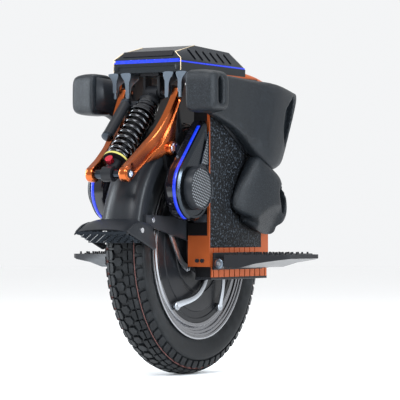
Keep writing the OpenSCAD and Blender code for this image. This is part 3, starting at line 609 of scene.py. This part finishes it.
# %% [markdown]
# ## Rocker arms
# An arm is a beam swept from the shock's foot to its tip: an I-shaped section whose width and pocket
# depth change on the way, round eyes at the ends, and a webbed ear that carries the pivot bolt.

# %% Rocker arms
ways = curve([(38, -281.9, 143.9), (38.6, -250, 165), (42, -216, 189), (49, -189, 213), (55.5, -168, 243),
              (60, -147, 277), (61.5, -127.8, 310.1)], 60)
t = np.linspace(0, 1, 60)
width = np.interp(t, [0, .12, .35, .5, .7, 1], [15.3, 14.6, 15.6, 15.6, 12.2, 9.4])
pocket = 4.2 * np.clip((t - 0.075) / 0.03, 0, 1) * np.clip((0.96 - t) / 0.04, 0, 1)
one = np.ones(60)
sec = [(6.1, -1), (7, -.93), (7, -.76), ("p", -.62), ("p", .62), (7, .76), (7, .93), (6.1, 1), (-6.1, 1),
       (-7, .93), (-7, .7), ("q", .55), ("q", -.55),
       (-7, -.7), (-7, -.93), (-6.1, -1)]
rows = {"p": 7 - pocket, "q": -7 + 0.6 * pocket}
beam = np.stack([np.stack([rows[a] if a in rows else a * one, b * width], -1) for a, b in sec], 1)
arc = np.radians(np.linspace(215, 372, 18))
web = [(-230, 163), (-206, 171), (-190, 174), (-177,
                                               180)] + (EAR + 14.6 * np.column_stack([np.cos(arc),
                                                            np.sin(arc)])).tolist() + [
    (-143, 214), (-140, 242), (-134, 270), (-142, 268), (-160, 236), (-182, 202), (-214, 180)]
plate = slab(web, 56.0, 65.0, 1.2)
plate[0][:, 0] += np.interp(plate[0][:, 1], [-230, -216, -190, -168, -155], [-20, -18, -11.5, -5, 0])
arm = merge(
    sweep(ways, beam, up=(1, 0, 0)),
    puck(30.3, 45.7, 15.6, FOOT, 2.2, 44), puck(45.0, 46.8, 12.6, FOOT, 0.8, 40),
    plate, puck(53.4, 68.0, 14.6, EAR, 1.8, 44),
    puck(55, 68, 9.8, TIP, 1.6, 32), puck(45.6, 69, 4, TIP, 0.4, 20))
piece("forged_arm_left", arm, "rocker", "forged_copper", ["rocker_arm_left"])
piece("forged_arm_right", mirrored(arm), "rocker", "forged_copper", ["rocker_arm_right"])
well = both(puck(46.2, 47.2, 8.6, FOOT, 0.3, 32))
piece("eye_wells", well, "rocker", "tray_plastic")
# The tip's bolt lies flush, because it passes inside the battery case at full travel
heads = merge(drum([(5.8, 0), (6.4, .7), (6.4, 3.0), (5.4, 3.8), (3.2, 3.8), (3.0, 2.4)], (46.6, *FOOT),
                   (1, 0, 0), 6),
              drum([(9.6, 0), (10.6, .6), (10.6, 1.6), (9.6, 2)], (68, *EAR), (1, 0, 0), 36),
              drum([(4.2, 0), (4.2, .6), (3.4, 1)], (68.2, *TIP), (1, 0, 0), 20))
piece("arm_bolt_heads", both(heads), "rocker", "bolt_steel")
dress("cross_shaft", "steel", 0.5)
dress("shaft_sleeves", "bezel", 1.2)
dress("pivot_bolts", "bolt_steel", 1.0)
dress("rocker_brackets", "black_metal", 1.0)

# %% [markdown]
# ## Shock absorber
# The spring is a tube on a helix round the shock's axis, with closed end turns.

# %% Shock absorber
axis = np.append(0, (SHOCK_TOP - FOOT) / np.linalg.norm(SHOCK_TOP - FOOT))
side_dir, back_dir = np.array([1.0, 0, 0]), np.cross([1.0, 0, 0], axis)


def at_shock(h, a=0.0, b=0.0):
    """The point h along the shock from its foot, a to the side and b behind its axis."""
    return np.array([0, *FOOT]) + axis * h + side_dir * a + back_dir * b


turns, m = 8.6, 290
w = np.linspace(0, 1, m)
rise = 42 + 117 * np.interp(w, [0, .07, .93, 1], [0, .03, .97, 1])
ang = 2 * math.pi * turns * w
radial = np.cos(ang)[:, None] * side_dir + np.sin(ang)[:, None] * back_dir
coil = np.array([0, *FOOT]) + rise[:, None] * axis + 22 * radial
spring = piece("coil_spring", sweep(coil, circle(3.5, 12), up=radial), "shock_upper",
               "spring_steel", ["shock_spring"])
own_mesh(spring)


def collar(h, prof, n=48):
    """A ring turned about the shock's axis, h along it."""
    return drum(prof, at_shock(h), axis, n)


upper = merge(collar(163, [(26, 0), (27.4, .8), (27.4, 5), (26, 6.2)]),
              collar(172, [(21, 0), (23, 1), (23, 5), (21, 6)]),
              collar(181, [(21, 0), (22.6, 1), (22.6, 3), (21, 4)]),
              collar(190, [(21, 0), (22.4, 1), (22.4, 6), (19, 9)]))
piece("shock_collars", upper, "shock_upper", "spring_steel")
caps = merge(*[drum([(9, 0), (11.2, 1), (11.2, 7), (9, 8)], at_shock(h, -35, 20), axis, 32) for h in (82,
                                                            178)],
             drum([(5, 0), (6, .8), (6, 5), (4.6, 6.2)], at_shock(214, 12, -4), side_dir, 6),
             drum([(5, 0), (6, .8), (6, 4), (4.6, 5)], at_shock(196, -6, -20), -back_dir, 6))
piece("shock_fittings", caps, "shock_upper", "bezel")
piece("shock_label", collar(31.6, [(26.4, 0.6), (26.8, 1), (26.8, 5.2), (26.4, 5.6)]), "shock_lower",
      "label")
dress("shock_body", "black_metal", 0.9)
dress("shock_shaft", "black_metal", 0.9)
dress("rebound_knob", "knob_red", 0.9)
knurl = [drum([(0.9, 0), (0.9, 8)],
              at_shock(20) - back_dir * 14 + 8 * (math.cos(a) * side_dir + math.sin(a) * axis), -back_dir, 5)
         for a in np.linspace(0, 2 * math.pi, 16, endpoint=False)]
piece("knob_knurl", merge(*knurl), "rebound_knob", "knob_red")
print("arms and shock made")

# %% [markdown]
# ## Battery cases, base and rods
# These keep their CAD shapes with rounded edges and their own finishes.

# %% Cases and base
for node in ("case_left", "case_right"):
    dress(node, "copper_paint", 0.9)
for node in ("grip_panel_left", "grip_panel_right"):
    dress(node, "grip_tape", 0.6)
dress("heat_plates", "copper_paint", 0.5)
dress("base_rails", "black_metal", 0.8)
dress("guide_rods", "steel", 0.5)
dress("battery_packs", "battery_wrap", 0)
dress("case_bolts", "black_metal", 0.8)
dress("pedal_hangers", "black_metal", 0.9)
dress("hinge_pins", "steel", 0.8)
dress("shock_mount", "black_metal", 1.2)
claw = curve([(2, 0), (22, 0), (22, -6), (17, -13), (13.5, -24), (13, -40), (12, -48), (8, -50),
              (4.5, -47), (4.5, -20), (2, -12)], 60, closed=True)
claws = []
for x0 in (37.0, 66.5):
    g = [np.column_stack([x0 + claw[:, 0], np.full(60, y),
                          347 + claw[:, 1] * (0.78 if x0 > 50 else 1.0)]) for y in (-145.5, -142)]
    claws += [shell(g), slab([(-144, 297), (-140.5, 297), (-132, 322), (-105, 337), (-105, 347),
                              (-144, 347)], x0 + 6, x0 + 12, 0.8)]
piece("claws", both(merge(*claws)), "chassis", "grey_metal", ["claw_plates"], bevel=0.8)
front_box = brick((70, -84.5, 52), (99.5, -80.2, 68), 1.2)
piece("connector_boxes", both(front_box), "chassis", "dark_plastic")

# %% [markdown]
# ## Head
# The cover, tray, strips and glass panel are CAD nodes. Thin trims, latches and a ridge are added.

# %% Head
dress("head_cover", "dark_plastic", 1.2)
dress("head_tray", "tray_plastic", 1.5)
dress("head_light_strips", "led_blue", 0.8)
dress("headlight_panel", "gloss_black", 0.6)
dress("display", "display_glass", 0.8)
dress("power_button", "dark_plastic", 1.0)
dress("control_board", "circuit", 0)
dress("tail_light", "red_lens", 1.0)
trim = sweep([(77.4, -144.6, 350), (77.6, -145, 374), (60.6, -137.2, 387.2), (60.6, -64, 404.2)],
             circle(0.9, 8), up=(0, 1, 0.3))
piece("corner_trims", both(trim), "chassis", "beige")
latch = merge(brick((66, -147.5, 352), (76.5, -144, 362), 1.2),
              brick((68, -149, 355), (75, -147, 359), 0.8))
piece("tray_latches", both(latch), "chassis", "tray_plastic")
ridge = sweep([(-76, -145.6, 360.5), (76, -145.6, 360.5)], [(-1, -1.2), (1, -1.2), (1, 1.2), (-1, 1.2)],
              up=(0, 0, 1))
piece("tray_ridge", ridge, "chassis", "tray_plastic", smooth=False)

# %% [markdown]
# ## Speaker pods
# A teardrop outline (a big circle, a small one and the two tangents) is drawn in by steps to give the
# glossy body, the groove with its light strip and the brushed bezel. The speaker is turned about its own
# axis.

# %% Speaker pods
BIG, SMALL = np.array([-135.0, 117.0]), np.array([-89.0, 246.0])


def teardrop(d, n=44):
    """Outline of the pod drawn in by d: points (y, z), flattened against the case at the back."""
    v = SMALL - BIG
    lean, spread = math.atan2(v[1], v[0]), math.acos((62 - 7) / np.linalg.norm(v))
    a = np.linspace(lean + spread, lean + 2 * math.pi - spread, n)
    b = np.linspace(lean - spread, lean + spread, 12)
    o = np.concatenate([BIG + (62 - d) * np.column_stack([np.cos(a), np.sin(a)]),
                        SMALL + max(7 - d, 0.6) * np.column_stack([np.cos(b), np.sin(b)]) - [d * 0.4,
                                                            d * 1.3]])
    o[:, 0] = np.minimum(o[:, 0], -80.4)
    return o


def ring(x, d):
    """The teardrop drawn in by d, standing at x."""
    outline = teardrop(d)
    return np.column_stack([np.full(len(outline), x), outline])


body = shell([ring(x, d) for x, d in ((61, 17), (66, 9), (70, 4), (73, 1.4), (76, 0.3), (79, 0), (90.2, 0),
                                      (90.2, 2), (97.2, 2), (97.2, 0), (98.6, 0))])
rim_plate = shell([ring(x, d) for x, d in ((98.4, 0.4), (99.4, 0), (101, 0.2), (104.6, 4.6), (104.6, 9),
                                           (102.8, 10.2))])
# The tangents have no points of their own, so the outline is walked at even steps from the small circle
# round the front
outline = np.roll(teardrop(-0.2, 90), 12, axis=0)
run = np.concatenate([[0], np.cumsum(np.linalg.norm(np.diff(outline, axis=0), axis=1))])
front = np.column_stack([np.interp(np.linspace(0, run[-1], 220), run, outline[:, k]) for k in (0, 1)])
front = front[(front[:, 0] < -103) & (front[:, 1] > 59)]
strip = sweep(np.column_stack([np.full(len(front), 93.7), front]),
              [(-3.1, -1.6), (3.1, -1.6), (3.1, 0.5), (2.2, 1.1), (-2.2, 1.1), (-3.1, 0.5)], up=(1, 0, 0))
for name, s in (("left", body), ("right", mirrored(body))):
    piece("pod_shell_" + name, s, "chassis", "gloss_black", ["pod_" + name])
piece("pod_bezels", both(rim_plate), "chassis", "bezel")
piece("pod_lights", both(strip), "chassis", "led_blue", ["pod_light_strips"])
mid = (97, -133, 118.5)
cup = drum([(39, 0), (42.5, 1), (42.5, 21), (41.6, 22.6), (40, 23), (39.2, 22.4), (38.8, 20)], mid,
           (1, 0, 0), 96)
dome = drum([(39.2, 19), (39.2, 20.4), (36, 21.4), (28, 22.4), (16, 22.9), (4, 23.1)], mid, (1, 0, 0), 96)
piece("speaker_cups", both(cup), "chassis", "dark_plastic", ["speakers"])
piece("speaker_domes", both(dome), "chassis", "mesh", ["speaker_grilles"])
inset = slab(rounded([(-85, 166), (-85, 226), (-110, 166)], 4), 103.2, 105.4, 0.5)
frame_line = sweep([(105.2, -84, 163), (105.2, -84, 230), (105.2, -113, 163)], circle(1.1, 8),
                   up=(1, 0, 0), closed=True)
piece("mesh_panels", both(inset), "chassis", "mesh", ["mesh_inserts"])
piece("mesh_frames", both(frame_line), "chassis", "bezel")
print("pods made")

# %% [markdown]
# ## Rear handle
# One tube on a smooth path, from the tray back and round.

# %% Handle
loop = curve([(62, 100, 356), (62, 118, 355), (62, 176, 348.5), (62, 226, 337), (56, 242, 333.4),
              (40, 244, 333), (0, 244, 333), (-40, 244, 333),
              (-56, 242, 333.4), (-62, 226, 337), (-62, 176, 348.5), (-62, 118, 355), (-62, 100, 356)], 110)
piece("handle_tube", sweep(loop, circle(7, 24), up=(0, 0, 1)), "chassis", "orange_tube",
      ["rear_handle"])

# %% [markdown]
# ## Pads
# Each pad starts as overlapping closed forms with its hollows cut out. A voxel remesh joins them into one
# skin, a short cloth simulation with inner pressure crowns it like moulded foam under its cover, and one
# subdivision smooths it.

# %% Pads
def solid(name, s):
    """A bare object from a shell in millimetres, used only while a pad is being formed."""
    mesh = bpy.data.meshes.new(name)
    mesh.from_pydata(((s[0] + AXLE) / 1000).tolist(), [], s[1])
    o = bpy.data.objects.new(name, mesh)
    bpy.context.scene.collection.objects.link(o)
    return o


def apply_all(o):
    """Bakes every live modifier into the object's own mesh."""
    dep = bpy.context.evaluated_depsgraph_get()
    mesh = bpy.data.meshes.new_from_object(o.evaluated_get(dep))
    o.modifiers.clear()
    old, o.data = o.data, mesh
    bpy.data.meshes.remove(old)


CROWN = 0.003       # furthest that the cloth may carry a point, in metres


def soft_form(name, forms, cutters, voxel=0.004, push=3.0, smooth=4):
    """Forms joined, cutters taken away, then remeshed, crowned with cloth pressure and smoothed."""
    o = solid(name, merge(*forms))
    r = o.modifiers.new("Join", "REMESH")
    r.mode, r.voxel_size = "VOXEL", voxel * 0.75
    apply_all(o)
    extra = [solid("cutter", c) for c in cutters]
    for c in extra:
        b = o.modifiers.new("Cut", "BOOLEAN")
        b.operation, b.object, b.solver = "DIFFERENCE", c, "EXACT"
    r = o.modifiers.new("Skin", "REMESH")
    r.mode, r.voxel_size = "VOXEL", voxel
    k = o.modifiers.new("Soften", "SMOOTH")
    k.factor, k.iterations = 0.5, smooth
    apply_all(o)
    for c in extra:
        bpy.data.objects.remove(c)
    rest = np.array([v.co for v in o.data.vertices])
    c = o.modifiers.new("Cloth", "CLOTH")
    c.settings.quality, c.settings.mass = 5, 0.3
    c.settings.tension_stiffness = c.settings.compression_stiffness = 40
    c.settings.shear_stiffness, c.settings.bending_stiffness = 20, 8
    c.settings.use_pressure, c.settings.uniform_pressure_force = True, push
    c.settings.effector_weights.gravity = 0
    c.point_cache.frame_start, c.point_cache.frame_end = 1, 16
    for f in range(1, 17):
        bpy.context.scene.frame_set(f)
    apply_all(o)
    bpy.context.scene.frame_set(1)
    now = np.array([v.co for v in o.data.vertices])
    move = now - rest
    size = np.linalg.norm(move, axis=1)[:, None]
    move *= np.minimum(1, CROWN / np.maximum(size, 1e-9))
    fixed = np.clip((rest[:, :1].__abs__() * 1000 - 108.5) / 6, 0, 1)
    o.data.vertices.foreach_set("co", (rest + move * fixed).ravel())
    print(name, "cloth moved up to", round(float(size.max()) * 1000, 1), "mm, kept to 3 mm")
    o.data.polygons.foreach_set("use_smooth", [True] * len(o.data.polygons))
    sub = o.modifiers.new("Subdivision", "SUBSURF")
    sub.levels = sub.render_levels = 1
    o.data.materials.append(FINISH["foam"])
    return o


def loft_y(stations, rear=0.0, n=40, power=5.0):
    """Superellipse rings at stations (y, x inner, x outer, z bottom, z top), leaning back with height by rear."""
    a = np.linspace(0, 2 * math.pi, n, endpoint=False)
    c, s = np.cos(a), np.sin(a)
    ca, sa = np.sign(c) * np.abs(c) ** (2 / power), np.sign(s) * np.abs(s) ** (2 / power)
    rings = []
    for k, (y, x0, x1, z0, z1) in enumerate(stations):
        z = (z0 + z1) / 2 + sa * (z1 - z0) / 2
        rings.append(np.column_stack([(x0 + x1) / 2 + ca * (x1 - x0) / 2,
                                      np.full(n, y) + rear * k / (len(stations) - 1) * (z - 235) / 80, z]))
    return shell(rings)


main = loft_y(curve([(-112, 107, 126, 266, 340), (-80, 107, 129, 256, 344), (-40, 107, 131, 243, 345),
                     (0, 107, 133, 227, 344), (40, 107, 138, 206, 342),
                     (75, 107, 147, 184, 339), (105, 107, 152, 170, 335), (135, 107, 151, 160, 330),
                     (158, 107, 148, 160, 326), (190, 108, 140, 168, 322)], 40), 40)
block = []
for x0, yf, yb, z0, z1 in curve([(107, -175, -100, 270, 345), (110, -180, -99, 266, 348),
                                 (120, -178, -98, 265, 349),
                                 (132, -175, -98, 265, 349), (144, -173, -99, 266, 348),
                                 (154, -171, -101, 268, 346),
                                 (161, -167, -104, 271, 343), (166, -159, -110, 277, 337)], 34):
    a = np.linspace(0, 2 * math.pi, 36, endpoint=False)
    ca, sa = np.sign(np.cos(a)) * np.abs(np.cos(a)) ** 0.4, np.sign(np.sin(a)) * np.abs(np.sin(a)) ** 0.4
    block.append(np.column_stack([np.full(36, x0), (yf + yb) / 2 + ca * (yb - yf) / 2,
                                  (z0 + z1) / 2 + sa * (z1 - z0) / 2]))
a = np.linspace(0, 2 * math.pi, 24, endpoint=False)
slot_ring = np.column_stack([-137 + 8.5 * np.cos(a), 308 + 19 * np.sign(np.sin(a)) + 7.5 * np.sin(a)])
slot_cut = shell([np.column_stack([np.full(24, x), slot_ring]) for x in (141, 175)])
rear_cut = slab(rounded([(205, 318), (152, 284), (142, 245), (160, 205), (186, 240)], 10), 124, 170, 1)
upper_left = soft_form("upper_pad_skin_left", [main, shell(block)], [slot_cut, rear_cut], 0.0034, smooth=3)

mound = loft_y(curve([(0, 107, 116, 82, 98), (12, 107, 127, 70, 126), (32, 107, 137, 62, 156),
                      (58, 107, 146, 56, 187), (80, 107, 151, 50, 178),
                      (100, 107, 154, 46, 168), (120, 107, 155, 43, 158), (138, 107, 153, 44, 148),
                      (152, 107, 151, 48, 132), (164, 107, 148, 58, 114), (172, 108, 143, 72, 98)], 36), 0,
                      40, 3.4)
ledge = loft_y(curve([(34, 107, 122, 52, 70), (60, 107, 128, 40, 70), (90, 107, 132, 32, 62),
                      (120, 107, 134, 28, 56), (140, 107, 133, 28, 54), (150, 108, 128, 34, 52)], 24), 0,
                      40, 3.4)
low_cut = slab(rounded([(121, 112), (138, 136), (157, 120), (163, 88), (152, 66), (136, 76)], 8), 122, 175,
               1)
lower_left = soft_form("lower_pad_skin_left", [mound, ledge], [low_cut], 0.0034)
HINGE_X, HINGE_Z = 120.0, -30.0   # the pedal's hinge, from the axle
FOLD = math.radians(60)           # how far the pedal folds up
STUD_TOP = 25.0                   # height of the pedal's studs over its hinge


def relieve(o, clear=3.0):
    """Draws in each point past the folded pedal's face, a plane through the stud tops that leans by the fold.

    A point d along the pedal and h above its hinge lies at x = hinge + d cos(fold) - h sin(fold) and
    z = hinge + d sin(fold) + h cos(fold). With d taken out, x follows z alone. Behind the pedal the limit
    opens again by a slope of 0.8. The skin is then smoothed, so that no crease shows where it was drawn in.
    """
    co = np.array([v.co for v in o.data.vertices]) * 1000 - AXLE
    d = (co[:, 2] - HINGE_Z - STUD_TOP * math.cos(FOLD)) / math.sin(FOLD)
    reach = HINGE_X + d * math.cos(FOLD) - STUD_TOP * math.sin(FOLD) - clear
    reach += np.maximum(0, co[:, 1] - 132) * 0.8
    moved = np.maximum(0, co[:, 0] - np.maximum(reach, 109))
    co[:, 0] -= moved
    o.data.vertices.foreach_set("co", ((co + AXLE) / 1000).ravel())
    soften = o.modifiers.new("Soften", "SMOOTH")
    soften.factor, soften.iterations = 0.5, 8
    subdivision = o.modifiers["Subdivision"]
    subdivision.show_viewport = subdivision.show_render = False
    apply_all(o)
    again = o.modifiers.new("Subdivision", "SUBSURF")
    again.levels = again.render_levels = 1
    print(o.name, "drawn in by up to", round(float(moved.max()), 1), "mm for the folded pedal")


relieve(lower_left)
for left, node in ((upper_left, "upper_pad"), (lower_left, "lower_pad")):
    right = left.copy()
    right.data = left.data.copy()
    right.name = left.name.replace("left", "right")
    bpy.context.scene.collection.objects.link(right)
    right.data.vertices.foreach_set("co", (np.array([v.co for v in left.data.vertices]) * [-1, 1,
                                                            1]).ravel())
    right.data.flip_normals()
    for o, side in ((left, "_left"), (right, "_right")):
        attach(o, "chassis")
        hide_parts(node + side)
dress("pad_plates", "dark_plastic", 0)
print("pads made")

# %% [markdown]
# ## Pedals
# The CAD pedals get ribs along their tops, and a round cap closes the front end of each hinge.

# %% Pedals
for side in (1, -1):
    name = "left" if side == 1 else "right"
    dress("pedal_" + name, "black_metal", 1.0)
    ribs = [sweep([(134 + 22 * k + 4, -34 + 3 * k, -11.4), (134 + 22 * k + 14, 116 - 3 * k, -11.4)],
                  [(-1.2, -2.2), (1.2, -1.8), (1.2, 1.8), (-1.2, 2.2)], up=(0, 0, 1))
            for k in range(5)]
    s = merge(*ribs)
    piece("pedal_ribs_" + name, s if side == 1 else mirrored(s), "pedal_" + name,
          "dark_metal", smooth=False)
# Round caps stay inside the pedal's turning circle, which starts 11 mm from the pin
hinge_cap = drum([(9, 0), (9.6, .6), (9.6, 1.9), (8.8, 2.5), (4.4, 2.5), (4.2, 1.8)],
                 (HINGE_X, -67.5, HINGE_Z), (0, -1, 0), 32)
piece("hinge_caps", both(hinge_cap), "chassis", "grey_metal")

# %% [markdown]
# ## Floor, light and camera
# A pale floor and an evenly pale surround leave nothing standing behind the unicycle, so it can be seen
# from every side. A curved backdrop would do for one view only. Strip lamps at the front and sides draw
# edges on the dark skins.

# %% Floor
FLOOR_R = 14.0
turn = np.linspace(0, 2 * math.pi, 72, endpoint=False)
mesh = bpy.data.meshes.new("floor")
mesh.from_pydata(np.column_stack([FLOOR_R * np.cos(turn), FLOOR_R * np.sin(turn), np.zeros(72)]).tolist(),
                 [],
                 [tuple(range(72))])
floor = bpy.data.objects.new("floor", mesh)
bpy.context.scene.collection.objects.link(floor)
paper = Finish("paper", (0.985, 0.985, 0.985), 0.8)
paper.rough(paper.noise(3.0) * 0.1 + 0.75)
mesh.materials.append(FINISH["paper"])
bpy.context.scene.view_settings.view_transform = "Standard"
print("floor", 2 * FLOOR_R, "m across")


# %% Lamps and surround
def lamp(name, where, target, size, watts, color=(1, 1, 1)):
    """A rectangular area lamp at `where`, turned to face `target`."""
    data = bpy.data.lights.new(name, "AREA")
    data.shape, data.size, data.size_y, data.energy, data.color = "RECTANGLE", size[0], size[1], watts, color
    o = bpy.data.objects.new(name, data)
    o.location = where
    o.rotation_euler = (Vector(target) - Vector(where)).to_track_quat("-Z", "Y").to_euler()
    bpy.context.scene.collection.objects.link(o)


middle = (0, 0, 0.35)
lamp("key", (0.3, -2.2, 2.3), middle, (1.2, 0.8), 95, (0.93, 0.96, 1.0))
lamp("left_strip", (-2.0, -1.0, 0.9), middle, (0.35, 1.8), 75, (0.85, 0.93, 1.0))
lamp("right_fill", (2.3, -0.6, 1.2), middle, (0.4, 1.8), 85, (0.85, 0.93, 1.0))
lamp("top", (0, 0.4, 2.6), middle, (1.2, 1.2), 30)
world = bpy.data.worlds.new("studio")
world.use_nodes = True
world.node_tree.nodes["Background"].inputs[0].default_value = (0.98, 0.99, 1.0, 1)
world.node_tree.nodes["Background"].inputs[1].default_value = 0.92
bpy.context.scene.world = world

# %% Camera
yaw = math.radians(30.4)
pitch = math.radians(-0.834)
back = np.array([math.sin(yaw) * math.cos(pitch), -math.cos(yaw) * math.cos(pitch), math.sin(pitch)])
right = np.array([math.cos(yaw), math.sin(yaw), 0])
up = np.cross(back, right)
camera = bpy.data.objects.new("camera", bpy.data.cameras.new("camera"))
SENSOR, IMAGE, FOCAL = 36.0, 400, 2222.5        # sensor in mm; image and focal length in image units
AWAY, ASIDE, ABOVE = 4503.7, 31.437, 97.672     # camera from the axle, in mm along its own axes
camera.data.lens, camera.data.sensor_width = FOCAL / IMAGE * SENSOR, SENSOR
where = (back * AWAY + right * ASIDE + up * ABOVE + AXLE) / 1000
matrix = np.eye(4)
matrix[:3, 0], matrix[:3, 1], matrix[:3, 2], matrix[:3, 3] = right, up, back, where
camera.matrix_world = [list(r) for r in matrix.T]
bpy.context.scene.collection.objects.link(camera)
bpy.context.scene.camera = camera
